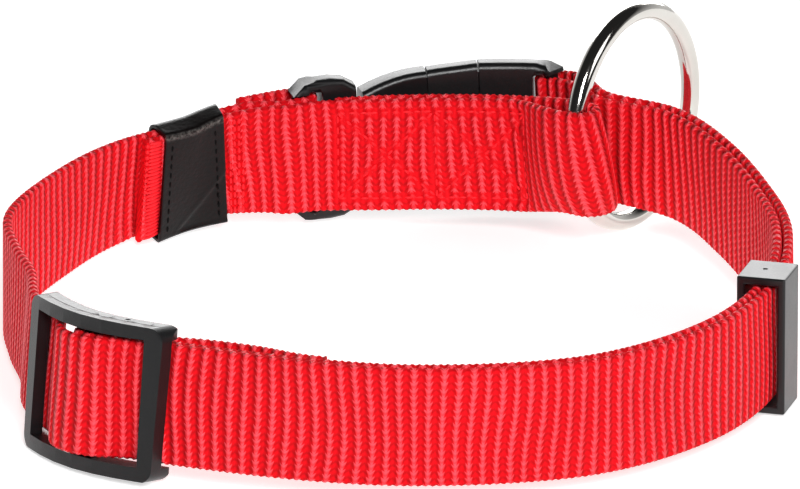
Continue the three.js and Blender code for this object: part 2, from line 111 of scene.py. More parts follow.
# %% The loop's points
LOOP_POINTS = [
    ("glide", -0.76, -0.755, 6, "glide", 0),
    ("", -0.457, -0.897, 9, "glide", 0),
    ("", 0, -0.993, 2, "keeper", 1),
    ("", 0.46, -0.918, 0, "keeper", 0.6),
    ("", 0.765, -0.67, 0, "keeper", 0.2),
    ("keeper", 0.922, -0.363, 0, "keeper", 0),
    ("", 0.97, -0.022, 1, "keeper", 0.8),
    ("", 0.928, 0.258, 2, "keeper", 1.3),
    ("", 0.826, 0.522, 3, "ring", -1.6),
    ("", 0.71, 0.714, 7, "ring", -0.4),
    ("ring", 0.546, 0.823, 11, "ring", 0),
    ("", 0.491, 0.925, 6, "ring", -0.6),
    ("", 0.407, 1.005, 0, "buckle", 0.9),
    ("buckle", 0.068, 1, 0, "buckle", 0),
    ("", -0.272, 0.93, 3, "buckle", -0.6),
    ("", -0.44, 0.875, 12, "buckle", -0.9),
    ("sleeve", -0.56, 0.829, 18, "floor", 1.9),
    ("", -0.72, 0.722, 9, "floor", 0.3),
    ("", -0.852, 0.533, 3, "floor", 0.1),
    ("", -0.993, 0.187, 0, "floor", 0),
    ("", -0.973, -0.088, 2, "floor", 0.6),
    ("", -0.934, -0.28, 4, "glide", -1.6),
    ("", -0.902, -0.51, 5, "glide", -0.7),
]
PLAN = np.array([(across * LOOP["width"] / 2, back * LOOP["depth"] / 2)
                 for _, across, back, _, _, _ in LOOP_POINTS])
RISE = np.array([(lean, LIFTS[near] + above) for _, _, _, lean, near, above in LOOP_POINTS])


# %% A smooth curve through points
def through(points, share, closed=True):
    """Places on a smooth curve through the points, at shares of its run from 0 to 1."""
    count = len(points)
    place = np.asarray(share, float) * (count if closed else count - 1)
    first = np.floor(place).astype(int)
    if closed:
        a, b, c, d = (points[(first + k) % count] for k in (-1, 0, 1, 2))
    else:
        first = np.clip(first, 0, count - 2)
        longer = np.vstack([2 * points[0] - points[1], points, 2 * points[-1] - points[-2]])
        a, b, c, d = (longer[first + k] for k in range(4))
    mix = (place - first)[..., None]
    gap_in, gap, gap_out = (((q - p) ** 2).sum(-1, keepdims=True) ** 0.25
                            for p, q in ((a, b), (b, c), (c, d)))
    start = ((b - a) / gap_in - (c - a) / (gap_in + gap) + (c - b) / gap) * gap
    end = ((c - b) / gap - (d - b) / (gap + gap_out) + (d - c) / gap_out) * gap
    return (b + start * mix + (3 * (c - b) - 2 * start - end) * mix ** 2
            + (2 * (b - c) + start + end) * mix ** 3)


def lengths_along(points):
    """How far each point of a line lies from its first one, along the line."""
    return np.concatenate([[0], np.cumsum(np.linalg.norm(np.diff(points, axis=0), axis=1))])


MARKS_PER_POINT = 60
SHARES = np.linspace(0, 1, len(LOOP_POINTS) * MARKS_PER_POINT + 1)
LENGTHS = lengths_along(through(PLAN, SHARES))
LOOP_LENGTH = LENGTHS[-1]
print("middle of the doubled webbing, mm round:", round(LOOP_LENGTH, 1))


# %% Places on the loop
def share_at(along):
    """The share of the curve's run, from 0 to 1, at a distance in millimetres."""
    return np.interp(np.mod(along, LOOP_LENGTH), LENGTHS, SHARES)


def named(name):
    """How far along the loop the point of that name lies."""
    return LENGTHS[[point[0] for point in LOOP_POINTS].index(name) * MARKS_PER_POINT]


def unit_of(vectors):
    return vectors / np.linalg.norm(vectors, axis=-1, keepdims=True)


def on_loop(along, out, up):
    """Points in millimetres, from measures along the loop, out from it and up from its middle."""
    along, out, up = np.broadcast_arrays(*(np.asarray(v, float) for v in (along, out, up)))
    share = share_at(along)
    ahead = unit_of(through(PLAN, share + 1e-4) - through(PLAN, share - 1e-4))
    outward = np.stack([ahead[..., 1], -ahead[..., 0]], -1)
    lean, lift = np.moveaxis(through(RISE, share), -1, 0)
    lean = np.radians(lean)
    step = WEB["step"]
    climb = np.arctan2(through(RISE, share_at(along + step))[..., 1]
                       - through(RISE, share_at(along - step))[..., 1], 2 * step)
    sideways = out * np.cos(lean) - up * np.sin(lean) * np.cos(climb)
    flat = through(PLAN, share) + outward * sideways[..., None] - ahead * (up * np.sin(climb))[..., None]
    high = lift + HALF_WIDTH + up * np.cos(lean) * np.cos(climb) + out * np.sin(lean)
    return np.concatenate([flat, high[..., None]], -1)


AT = {name: named(name) for name in ("glide", "keeper", "ring", "buckle", "sleeve")}
AT["male_bar"] = AT["buckle"] - BUCKLE["length"] / 2 + BUCKLE["end_to_bar"]
AT["female_bar"] = AT["buckle"] + BUCKLE["length"] / 2 - BUCKLE["end_to_bar"]


# %% [markdown]
# ## Where the ring stands
# The welded ring stands on its rim, with the webbing through it. Its CAD box tells how far the packed
# model was shifted from the millimetre measures above, so every piece can be put in the same frame.

# %% The ring's place, and the shift into the CAD frame
def ring_place():
    """The ring's centre, the direction out of the loop that it stands in, and its axis."""
    foot, outer = on_loop(AT["ring"], [0, 1], 0)
    behind = outer - foot
    angle = math.atan2(behind[1], behind[0]) + math.radians(RING["turn"])
    out = np.array([math.cos(angle), math.sin(angle), 0])
    centre = foot + out * RING["outset"]
    centre[2] = RING_RADIUS
    return centre, out, np.array([out[1], -out[0], 0])


RING_CENTRE, RING_OUT, RING_AXIS = ring_place()
ring_low, ring_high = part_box("leash_ring")
SHIFT = np.array((ring_low + ring_high) / 2) - RING_CENTRE * MM
print("shift into the CAD frame, mm:", np.round(SHIFT / MM, 2))


def in_frame(points):
    """Millimetre points as places in the CAD frame, in metres."""
    return np.asarray(points) * MM + SHIFT


# %% [markdown]
# ## Finishes
# A finish could be painted by hand, but here each one is worked out by nodes from places on the piece, so
# it fits at any size. All moulded plastic has the same fine grain, so the grain is one node group. The
# webbing's pattern follows its run, so it reads the strap's own UV map, which is in millimetres.

# %% Node helpers
def link(nodes, start, end):
    """Links an output socket to an input socket of the same node tree."""
    nodes.id_data.links.new(start, end)


def math_node(nodes, operation, *values, clamp=False):
    """A Math node whose inputs are sockets or numbers; returns its output."""
    node = nodes.new("ShaderNodeMath")
    node.operation = operation
    node.use_clamp = clamp
    for slot, value in zip(node.inputs, values):
        if isinstance(value, bpy.types.NodeSocket):
            link(nodes, value, slot)
        else:
            slot.default_value = value
    return node.outputs[0]


def noise(nodes, vector, scale, detail=3, roughness=0.5):
    node = nodes.new("ShaderNodeTexNoise")
    node.inputs["Scale"].default_value = scale
    node.inputs["Detail"].default_value = detail
    node.inputs["Roughness"].default_value = roughness
    link(nodes, vector, node.inputs["Vector"])
    return node.outputs["Fac"]


def ramp(nodes, value, stops):
    """A colour that changes with a value; each stop is a place from 0 to 1 and its colour."""
    node = nodes.new("ShaderNodeValToRGB")
    band = node.color_ramp
    while len(band.elements) < len(stops):
        band.elements.new(0.5)
    for element, (place, color) in zip(band.elements, stops):
        element.position = place
        element.color = (*color, 1)
    link(nodes, value, node.inputs["Fac"])
    return node.outputs["Color"]


def new_material(name, **sockets):
    """A material with a Principled shader, its constants set on the shader's own sockets."""
    material = bpy.data.materials.new(name)
    material.use_nodes = True
    shader = material.node_tree.nodes["Principled BSDF"]
    for socket, value in sockets.items():
        shader.inputs[socket.replace("_", " ")].default_value = value
    return material, material.node_tree.nodes, shader


def bump(nodes, height, depth, shader):
    """Raises the surface by the height, which runs from 0 to 1, times the depth in millimetres."""
    node = nodes.new("ShaderNodeBump")
    node.inputs["Strength"].default_value = 1
    node.inputs["Distance"].default_value = depth * MM
    link(nodes, height, node.inputs["Height"])
    link(nodes, node.outputs["Normal"], shader.inputs["Normal"])


# %% Node groups
def new_group(name, inputs, outputs):
    """An empty node group with named sockets for numbers, and its input and output nodes."""
    group = bpy.data.node_groups.new(name, "ShaderNodeTree")
    for way, sockets in (("INPUT", inputs), ("OUTPUT", outputs)):
        for socket in sockets:
            group.interface.new_socket(socket, in_out=way, socket_type="NodeSocketFloat")
    return group, group.nodes.new("NodeGroupInput"), group.nodes.new("NodeGroupOutput")


def placed(nodes, group, **values):
    """The group as one node of a material, with its own values; returns the node's outputs."""
    node = nodes.new("ShaderNodeGroup")
    node.node_tree = group
    for socket, value in values.items():
        node.inputs[socket.replace("_", " ")].default_value = value
    return node.outputs


# %% The grain of moulded surfaces
def moulded_grain():
    group, given, result = new_group("moulded grain", ["Grain Size", "Unevenness"], ["Height", "Shade"])
    nodes = group.nodes
    place = nodes.new("ShaderNodeTexCoord").outputs["Object"]
    fine = nodes.new("ShaderNodeTexNoise")
    fine.inputs["Detail"].default_value = 4
    link(nodes, place, fine.inputs["Vector"])
    link(nodes, math_node(nodes, "DIVIDE", 1 / MM, given.outputs["Grain Size"]), fine.inputs["Scale"])
    broad = noise(nodes, place, 160, 2)
    link(nodes, fine.outputs["Fac"], result.inputs["Height"])
    uneven = math_node(nodes, "MULTIPLY", math_node(nodes, "SUBTRACT", broad, 0.5),
                       given.outputs["Unevenness"])
    link(nodes, math_node(nodes, "ADD", uneven, fine.outputs["Fac"]), result.inputs["Shade"])
    return group


GRAIN = moulded_grain()
print(GRAIN.name, "nodes:", len(GRAIN.nodes))


# %% [markdown]
# ### Webbing
# The nylon webbing has ribs across its width, 2.87 mm apart. Each rib is a row of short floats that shine
# on their crowns: there the surface is glossier, and a pale red is painted on as a highlight, while a
# deeper red is painted into the grooves as shade. Each float ends in a point where it dives into the
# groove, so the painted pale stripe along a rib has teeth like a saw. The pattern is worked out with Math
# nodes from the UV map's millimetres, because that repeats without a seam and needs no picture. The sewing
# thread uses it too, in reds of its own, so it is a node group.

# %% The weave's waves
RIB = 2.87
FLOAT = 1.44


def uv_place(nodes):
    """The piece's own UV map in millimetres: as a vector, and its X and Y."""
    uv_map = nodes.new("ShaderNodeUVMap")
    uv_map.uv_map = "UVMap"
    split = nodes.new("ShaderNodeSeparateXYZ")
    link(nodes, uv_map.outputs["UV"], split.inputs[0])
    return uv_map.outputs["UV"], split.outputs["X"], split.outputs["Y"]


def wave(nodes, turns):
    """A cosine from 0 to 1 that repeats with each whole number."""
    angle = math_node(nodes, "MULTIPLY", turns, 2 * math.pi)
    return math_node(nodes, "MULTIPLY_ADD", math_node(nodes, "COSINE", angle), 0.5, 0.5)


def woven(nodes, place, along, across, pitch, length):
    """Three patterns from 0 to 1: the ribs, the strands in them, and the shine on their crowns."""
    loose = noise(nodes, place, 0.35, 2)
    ribs = math_node(nodes, "DIVIDE", math_node(nodes, "MULTIPLY_ADD", loose, 0.5, along), pitch)
    floats = math_node(nodes, "DIVIDE", math_node(nodes, "MULTIPLY_ADD", loose, 0.9, across), length)
    rib = wave(nodes, ribs)
    aside = math_node(nodes, "MULTIPLY", math_node(nodes, "PINGPONG", ribs, 0.5), 2)
    slanted = math_node(nodes, "MULTIPLY_ADD", aside, 0.75, floats)
    strand = math_node(nodes, "POWER", wave(nodes, slanted), 0.6)
    tooth = math_node(nodes, "MULTIPLY_ADD", math_node(nodes, "FRACT", slanted), -0.6, 0.93)
    on_crown = nodes.new("ShaderNodeMapRange")
    on_crown.interpolation_type = "SMOOTHSTEP"
    link(nodes, math_node(nodes, "ADD", rib, tooth), on_crown.inputs["Value"])
    on_crown.inputs["From Min"].default_value = 1.15
    on_crown.inputs["From Max"].default_value = 1.45
    shine = math_node(nodes, "MULTIPLY", on_crown.outputs["Result"],
                      math_node(nodes, "MULTIPLY_ADD", strand, 0.15, 0.85))
    return rib, strand, shine


def sewn_down(nodes, place, shine):
    """Where sewing pulls the webbing in, the ribs' shine, both its gloss and its painted highlight, gives
    way to an uneven one.
    """
    sewn = nodes.new("ShaderNodeAttribute")
    sewn.attribute_name = "sewn"
    uneven = math_node(nodes, "MULTIPLY", noise(nodes, place, 0.8, 3), 0.75)
    free = math_node(nodes, "SUBTRACT", 1, sewn.outputs["Fac"])
    return math_node(nodes, "ADD", math_node(nodes, "MULTIPLY", sewn.outputs["Fac"], uneven),
                     math_node(nodes, "MULTIPLY", shine, free))


# %% The weave as a node group
def webbing_weave():
    group, given, result = new_group("webbing weave", ["Rib Pitch", "Float Length"],
                                     ["Shine", "Height", "Tone"])
    nodes = group.nodes
    place, along, across = uv_place(nodes)
    rib, strand, shine = woven(nodes, place, along, across, given.outputs["Rib Pitch"],
                               given.outputs["Float Length"])
    shine = sewn_down(nodes, place, shine)
    fibres = nodes.new("ShaderNodeMapping")
    fibres.inputs["Scale"].default_value = (0.8, 9, 1)
    link(nodes, place, fibres.inputs["Vector"])
    fibre = noise(nodes, fibres.outputs["Vector"], 1, 4, 0.6)
    height = math_node(nodes, "MULTIPLY", math_node(nodes, "MULTIPLY_ADD", strand, 0.1, 0.9),
                       math_node(nodes, "MULTIPLY_ADD", rib, 0.82, 0.18))
    # Tone runs from the grooves, where shade is painted in a deeper red, to the crowns, where a highlight
    # is painted in a pale red.
    tone = math_node(nodes, "MULTIPLY_ADD", shine, 0.66, math_node(nodes, "MULTIPLY", strand, 0.24))
    tone = math_node(nodes, "MULTIPLY_ADD", noise(nodes, place, 0.05, 3), 0.16, tone)
    link(nodes, shine, result.inputs["Shine"])
    link(nodes, math_node(nodes, "MULTIPLY_ADD", fibre, 0.1, height), result.inputs["Height"])
    link(nodes, math_node(nodes, "SUBTRACT", tone, 0.06, clamp=True), result.inputs["Tone"])
    return group


WEAVE = webbing_weave()
print(WEAVE.name, "nodes:", len(WEAVE.nodes))


# %% Webbing material
def webbing_material(name, deep, body, painted_crown_highlight):
    """Woven nylon, with painted shade in its grooves and a painted highlight on its floats' crowns."""
    material, nodes, shader = new_material(name, Specular_IOR_Level=0.2)
    weave = placed(nodes, WEAVE, Rib_Pitch=RIB, Float_Length=FLOAT)
    link(nodes, math_node(nodes, "MULTIPLY_ADD", weave["Shine"], -0.46, 0.86), shader.inputs["Roughness"])
    bump(nodes, weave["Height"], 0.85, shader)
    link(nodes, ramp(nodes, weave["Tone"], [(0.0, deep), (0.26, body), (0.46, body), (0.86, painted_crown_highlight)]),
         shader.inputs["Base Color"])
    return material


# For the nylon and the thread alike, the deep colour is painted shade in the grooves, the crown colour is
# a painted highlight, and the body colour is the webbing's own red.
NYLON = webbing_material("nylon webbing", deep=(0.5, 0.0, 0.003), body=(0.76, 0.0, 0.006),
                         painted_crown_highlight=(1.0, 0.075, 0.098))
THREAD = webbing_material("sewing thread", deep=(0.5, 0.0, 0.006), body=(0.82, 0.003, 0.012),
                          painted_crown_highlight=(0.95, 0.03, 0.04))


# %% [markdown]
# ### Plastic, vinyl and nickel
# The slider, keeper and buckle are black acetal with a fine grain. The sleeve is black vinyl with a
# satin skin, with a highlight painted in lighter streaks along its upper fold. The ring is steel with a
# polished nickel coat, a little uneven in its gloss. Each is a Principled shader, because that carries
# over to other programs.

# %% Plastic material
def plastic_material(name, color, rough, grain_size, grain_depth, gloss):
    material, nodes, shader = new_material(name, Specular_IOR_Level=gloss)
    grain = placed(nodes, GRAIN, Grain_Size=grain_size, Unevenness=0.6)
    light = tuple(min(1, v * 1.35) for v in color)
    link(nodes, ramp(nodes, grain["Shade"], [(0.3, color), (0.8, light)]), shader.inputs["Base Color"])
    roughness = math_node(nodes, "MULTIPLY_ADD", grain["Shade"], 0.12, rough - 0.06)
    link(nodes, roughness, shader.inputs["Roughness"])
    bump(nodes, grain["Height"], grain_depth, shader)
    return material


PLASTIC = plastic_material("moulded plastic", (0.006, 0.006, 0.0065), 0.32, 0.32, 0.03, 0.36)


def painted_fold_highlight(material, reach, highlight_color=(0.13, 0.125, 0.115)):
    """Paints a highlight: lightens the colour in streaks along the fold where the UV map's Y is near 0, in
    millimetres.
    """
    nodes = material.node_tree.nodes
    base = nodes["Principled BSDF"].inputs["Base Color"]
    plain = base.links[0].from_socket
    place, _, across = uv_place(nodes)
    streaks = noise(nodes, place, 0.9, 5, 0.7)
    off_fold = math_node(nodes, "ABSOLUTE", math_node(nodes, "SUBTRACT", across, 0.5))
    near = math_node(nodes, "SUBTRACT", 1, math_node(nodes, "DIVIDE", off_fold, reach), clamp=True)
    # The lighter streaks near the fold are a painted highlight.
    highlight = math_node(nodes, "MULTIPLY", math_node(nodes, "SUBTRACT", streaks, 0.42, clamp=True), near)
    mix = nodes.new("ShaderNodeMix")
    mix.data_type = "RGBA"
    link(nodes, math_node(nodes, "MULTIPLY", highlight, 5, clamp=True), mix.inputs["Factor"])
    link(nodes, plain, mix.inputs["A"])
    mix.inputs["B"].default_value = (*highlight_color, 1)
    link(nodes, mix.outputs["Result"], base)
    return material


# The sleeve's lighter streaks along its upper fold are a painted highlight.
VINYL = painted_fold_highlight(plastic_material("satin vinyl", (0.003, 0.002, 0.002), 0.32, 0.9, 0.08, 0.18), 1.1)
BLACK_THREAD = plastic_material("black thread", (0.003, 0.003, 0.003), 0.7, 0.3, 0.05, 0.1)


# %% Nickel material
def nickel_material():
    material, nodes, shader = new_material("polished nickel", Metallic=1)
    place = nodes.new("ShaderNodeTexCoord").outputs["Object"]
    haze = noise(nodes, place, 90, 3)
    link(nodes, ramp(nodes, haze, [(0.3, (0.6, 0.575, 0.535)), (0.7, (0.68, 0.66, 0.625))]),
         shader.inputs["Base Color"])
    link(nodes, math_node(nodes, "MULTIPLY_ADD", haze, 0.08, 0.05), shader.inputs["Roughness"])
    bump(nodes, noise(nodes, place, 420, 2), 0.012, shader)
    return material


NICKEL = nickel_material()
print("materials:", [m.name for m in (NYLON, THREAD, PLASTIC, VINYL, BLACK_THREAD, NICKEL)])


# %% [markdown]
# ## Finishing a piece
# Every piece ends the same way: its bmesh becomes an object at the origin, with its place in its mesh.
# It gets its material, rides on its CAD body and, where it stands for a CAD node, replaces it. Weighted
# normals keep the large faces of moulded pieces flat, where plain smooth shading would darken them.

# %% From bmesh to piece
def finish_piece(bm, name, material, body="collar", replaces=(), sharp=40):
    mesh = bpy.data.meshes.new(name)
    bm.to_mesh(mesh)
    bm.free()
    mesh.materials.append(material)
    mesh.shade_smooth()
    mesh.set_sharp_from_angle(angle=math.radians(sharp))
    piece = bpy.data.objects.new(name, mesh)
    bpy.context.scene.collection.objects.link(piece)
    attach(piece, body)
    if replaces:
        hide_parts(*replaces)
    print(name, "faces:", len(mesh.polygons))
    return piece


def even_faces(piece):
    """Shades the large faces flat and leaves the rounding to the small faces of the bevels."""
    even = piece.modifiers.new("even faces", "WEIGHTED_NORMAL")
    even.keep_sharp = True
    even.weight = 100
    return piece


# %% [markdown]
# ## The webbing
# Each strap is a grid of faces: one direction follows its run, the other goes once round its section,
# with flat faces, rounded edges, low ribs and the small loops that the weft makes along both edges.
# The grid's seam is merged and its two cut ends are filled. The large ribs are real geometry, since they
# show in the outline of every edge, and the single floats on them are left to the material.

# %% The section of the webbing
RIB_HEIGHT = 0.16
EDGE_LOOP = 0.3
RIM = 0.95 * HALF_WIDTH


def section(rows):
    """Points once round the webbing, as heights and as shares of half the thickness, from -1 to 1."""
    face = np.linspace(-0.925, 0.925, rows) * HALF_WIDTH
    edge = np.array([0.972, 1.0, 0.972]) * HALF_WIDTH
    up = np.concatenate([face, edge, face[::-1], -edge])
    out = np.concatenate([np.full(rows, 1.0), [0.72, 0, -0.72], np.full(rows, -1.0), [-0.72, 0, 0.72]])
    return up, out


def wander(run, up, slant):
    """How far a rib lies off its even place: weaving never keeps ribs quite straight."""
    return slant * up + 0.45 * np.sin(run / 19 + up / 7.5) + 0.32 * np.sin(run / 8.3 - up / 5.1)


def ribbed(sheet, up, out, drawn, run, sunk):
    """Where the skin of a strap lies whose middle surface is sheet[row, station]."""
    across = sheet[np.argmax(up)] - sheet[np.argmin(up)]
    face = unit_of(np.cross(np.gradient(sheet, axis=1), across[None]))
    rib = (0.5 + 0.5 * np.cos(2 * math.pi * drawn / RIB)) - 1
    loops = (0.5 + 0.5 * np.cos(4 * math.pi * run / RIB)) - 1
    is_edge = np.abs(up) > RIM
    proud = np.where(is_edge, 0, 1)[:, None] * RIB_HEIGHT * rib
    away = out[:, None] * (WEB["thickness"] / 2 + proud - BOX["depth"] * sunk)
    taller = np.where(is_edge, np.sign(up), 0)[:, None] * EDGE_LOOP * loops
    return in_frame(sheet + face * away[..., None] + unit_of(across)[None] * taller[..., None])


# %% From a section and a run to a strap
def grid_stations(bm, slices, rows):
    """Makes a flat grid of faces, and tells the slice and the row of each of its points."""
    bmesh.ops.create_grid(bm, x_segments=slices, y_segments=rows, size=0.5)
    return {v: (round((v.co.x + 0.5) * slices), round((v.co.y + 0.5) * rows)) for v in bm.verts}


def webbing(name, sheet, up, out, slant=0.0, pulled=None):
    """A strap from its middle surface; pulled says how far sewing sinks its outer face, from 0 to 1."""
    rows = len(up)
    run = lengths_along(sheet.mean(0))
    outline = np.stack([up, out * WEB["thickness"] / 2], 1)
    around = lengths_along(np.vstack([outline, outline[:1]]))
    drawn = run[None] + wander(run[None], up[:, None], slant)
    sunk = np.zeros(drawn.shape)
    if pulled:
        sunk = pulled(*np.broadcast_arrays(run[None], up[:, None])) * (out == 1)[:, None]
    places = ribbed(sheet, up, out, drawn, run, sunk)
    bm = bmesh.new()
    uv = bm.loops.layers.uv.new("UVMap")
    sewn = bm.verts.layers.float.new("sewn")
    station = grid_stations(bm, len(run) - 1, rows)
    for vert, (i, j) in station.items():
        vert.co = places[j % rows, i]
        vert[sewn] = sunk[j % rows, i]
    for corner in (corner for face in bm.faces for corner in face.loops):
        i, j = station[corner.vert]
        corner[uv].uv = (drawn[j % rows, i], around[j])
    bmesh.ops.remove_doubles(bm, verts=bm.verts, dist=NO_TWINS)
    ends = bmesh.ops.holes_fill(bm, edges=[e for e in bm.edges if e.is_boundary], sides=0)["faces"]
    for corner in (corner for end in ends for corner in end.loops):
        corner[uv].uv = (RIB / 2, (corner.vert.co - ends[0].verts[0].co).length / MM)
    bmesh.ops.recalc_face_normals(bm, faces=bm.faces)
    return finish_piece(bm, name, NYLON, replaces=[name], sharp=80)


# %% [markdown]
# ### The main strap's run
# One length of webbing: from its sewn end it rounds the slider's centre bar, goes round the front and
# through the keeper to one half of the buckle, comes back as the outer layer, passes over the slider's
# bar, and goes on as a single layer to the other half. The run is drawn as lines, S-bends and half turns.

# %% Lines, S-bends and half turns
FINE = 400


def line_to(run, along, out):
    run.extend(np.linspace(run[-1], (along, out), FINE)[1:])


def bend_to(run, along, out):
    """An S-bend that leaves and arrives along the loop."""
    (x, y), t = run[-1], np.linspace(0, 1, FINE)[1:]
    middle = (x + along) / 2
    xs = x * (1 - t) ** 3 + 3 * middle * (1 - t) ** 2 * t + 3 * middle * (1 - t) * t ** 2 + along * t ** 3
    ys = y + (out - y) * (3 * (1 - t) * t ** 2 + t ** 3)
    run.extend(np.stack([xs, ys], 1))


def round_bar(run, along, out, radius, side):
    """Half a turn outwards round a bar, on its side 1 or -1 along the loop."""
    angle = np.linspace(-math.pi / 2, math.pi / 2, FINE // 2)[1:]
    run.extend(np.stack([along + side * radius * np.cos(angle), out + radius * np.sin(angle)], 1))


def evenly(run, step):
    """The same line with its points about one step apart."""
    run = np.array(run)
    lengths = lengths_along(run)
    marks = np.linspace(0, lengths[-1], round(lengths[-1] / step) + 1)
    return np.stack([np.interp(marks, lengths, run[:, k]) for k in range(run.shape[1])], 1)


# %% Draw the main strap's run
STATION = RIB / 7


def main_run():
    """The strap's middle line, as distances along the loop and out from it."""
    g, m = AT["glide"], AT["male_bar"]
    b = AT["female_bar"] - LOOP_LENGTH
    bar_out = GLIDE["bar"] / 2 - GLIDE["inset"]
    hug_glide = (GLIDE["bar"] + WEB["thickness"]) / 2 + CLEARANCE
    hug_buckle = (BUCKLE["bar"] + WEB["thickness"]) / 2 + CLEARANCE
    window = GLIDE["length"] / 2 - GLIDE["side"]
    tail = -LAYER - PITCH
    run = [(g + TAILS["glide"], tail)]
    bend_to(run, g + TAILS["sag"], tail - TAILS["slack"])
    bend_to(run, g + FOLD["flat"], bar_out - hug_glide)
    line_to(run, g, bar_out - hug_glide)
    round_bar(run, g, bar_out, hug_glide, -1)
    bend_to(run, g + window, -LAYER)
    line_to(run, m - FOLD["reach"], -LAYER)
    bend_to(run, m - FOLD["flat"], -hug_buckle)
    line_to(run, m, -hug_buckle)
    round_bar(run, m, 0, hug_buckle, 1)
    bend_to(run, m - FOLD["reach"], LAYER)
    line_to(run, g + window, LAYER)
    bend_to(run, g, bar_out + hug_glide + PITCH)
    bend_to(run, g - window, LAYER)
    bend_to(run, g - FOLD["settle"], 0)
    line_to(run, b + FOLD["reach"], 0)
    bend_to(run, b + FOLD["flat"], -hug_buckle)
    line_to(run, b, -hug_buckle)
    round_bar(run, b, 0, hug_buckle, -1)
    bend_to(run, b + TAILS["buckle"], PITCH)
    return evenly(run, STATION)


# %% Make the main strap
MAIN_RUN = main_run()
MAIN_UP, MAIN_OUT = section(9)
MAIN_SHEET = on_loop(MAIN_RUN[:, 0][None], MAIN_RUN[:, 1][None], MAIN_UP[:, None])
main_strap = webbing("main_strap", MAIN_SHEET, MAIN_UP, MAIN_OUT)

# %% [markdown]
# ### The relief strap's run
# The second strap starts under the sleeve, hangs inside the buckle, folds round the ring's inner arm and
# comes back behind itself. The arm is curved, so each height of the strap has its own run, and the fold
# follows the arm from its lower edge to its upper one.

# %% Draw the relief strap's run
RELIEF_FRONT = [(0.4, 0.547), (0, 0.709), (-0.4, 0.884), (-0.66, 1)]
RELIEF_BACK = [(-0.8, 0.866), (-0.43, 0.738), (0, 0.57), (0.4, 0.407), (0.7, 0.32)]
FOLD_STEPS = 8


def arm_at(height):
    """How far the middle of the ring's arm lies from its centre line at a height, and its half width."""
    rise = height - RING_RADIUS
    far = math.sqrt(RING_RADIUS ** 2 - rise ** 2)
    near = math.sqrt((RING["inner"] / 2) ** 2 - rise ** 2)
    return (far + near) / 2, (far - near) / 2


def level_at(up):
    """The height above the floor of a place on the webbing where it passes the ring."""
    return LIFTS["ring"] + HALF_WIDTH + up * math.cos(math.radians(RING["lean"]))


def relief_row(up):
    """The run of the relief strap at one height, from the sleeve to its sewn end."""
    before_bar = -PITCH - BUCKLE["bar"] / 2
    measures = [(AT["sleeve"] + SLEEVE["length"] * (0.5 - s) + RELIEF["start"] * (1 - s), -PITCH)
                for s in (0, 0.25, 0.5, 0.75, 1)]
    measures += [(AT["female_bar"] + SLEEVE["length"] / 2, before_bar),
                 (AT["female_bar"] + BUCKLE["prong"], before_bar - WEB["thickness"] + CLEARANCE),
                 (AT["female_bar"] - FOLD["flat"], before_bar - WEB["thickness"])]

    def beside_buckle(rows):
        return [(AT["buckle"] + along * BUCKLE["length"] / 2, -inside * RELIEF["inset"])
                for along, inside in rows]

    measures += beside_buckle(RELIEF_FRONT)
    height = level_at(up)
    reach, half = arm_at(height)
    wide = half + RELIEF["room"] + CLEARANCE + WEB["thickness"] / 2
    deep = RING["wire"] / 2 + RELIEF["room"] + CLEARANCE + WEB["thickness"] / 2
    low, high = arm_at(level_at(-HALF_WIDTH))[0], arm_at(level_at(HALF_WIDTH))[0]
    slack = reach - (low + (high - low) * (up / WEB["width"] + 0.5))
    centre = np.array([RING_CENTRE[0], RING_CENTRE[1], height])
    fold = []
    for k in range(-1, FOLD_STEPS + 2):
        turn = math.pi * min(max(k, 0), FOLD_STEPS) / FOLD_STEPS
        before = RELIEF["approach"] if k < 0 or k > FOLD_STEPS else 0
        behind = slack * (1 - math.cos(turn)) / 2
        fold.append(centre + RING_OUT * (behind - reach - math.cos(turn) * wide)
                    + RING_AXIS * (math.sin(turn) * (deep + slack / 2) - before))
    front = on_loop(*np.array(measures).T, up)
    back = on_loop(*np.array(beside_buckle(RELIEF_BACK)).T, up)
    return np.vstack([front, fold, back])


# %% Lay out the relief strap
FACE_ROWS = 27
RELIEF_UP, RELIEF_OUT = section(FACE_ROWS)


def relief_sheet():
    """The strap's middle surface, with its stations evenly apart along its middle row."""
    fine = np.linspace(0, 1, 10 * FINE)
    lengths = lengths_along(through(relief_row(0), fine, closed=False))
    marks = np.linspace(0, lengths[-1], round(lengths[-1] / STATION) + 1)
    shares = np.interp(marks, lengths, fine)
    return np.array([through(relief_row(up), shares, closed=False) for up in RELIEF_UP])


RELIEF_SHEET = relief_sheet()
print("relief strap, rows and stations:", RELIEF_SHEET.shape[:2])

# %% [markdown]
# ### Its box stitch
# Two boxes side by side, each with a cross, hold the folded strap. Sewing pulls the webbing in along its
# lines, so the face is sunk there before the thread is laid on it. The lines are listed once, and both
# steps use them.

# %% The box stitch's lines
def box_lines():
    """The start and the end of each line, as distances along the strap and up from its middle."""
    lines = []
    for k in range(2):
        a, b = BOX["from"] + k * BOX["length"], BOX["from"] + (k + 1) * BOX["length"]
        top, low = BOX["high"], -BOX["high"]
        lines += [((a, low), (b, top)), ((a, top), (b, low)), ((a, top), (b, top)), ((a, low), (b, low)),
                  ((b, low), (b, top))]
    return lines + [((BOX["from"], -BOX["high"]), (BOX["from"], BOX["high"]))]


def pulled_in(run, up):
    """How far the sewing pulls the face in at each place, from 0 to 1."""
    nearest = np.full(run.shape, np.inf)
    for (a, c), (b, d) in box_lines():
        share = ((run - a) * (b - a) + (up - c) * (d - c)) / ((b - a) ** 2 + (d - c) ** 2)
        share = np.clip(share, 0, 1)
        nearest = np.minimum(nearest, np.hypot(run - a - share * (b - a), up - c - share * (d - c)))
    return np.exp(-(nearest / BOX["width"]) ** 2)


# %% Make the relief strap
RIB_SLANT = 0.07
relief_strap = webbing("relief_strap", RELIEF_SHEET, RELIEF_UP, RELIEF_OUT, RIB_SLANT, pulled_in)


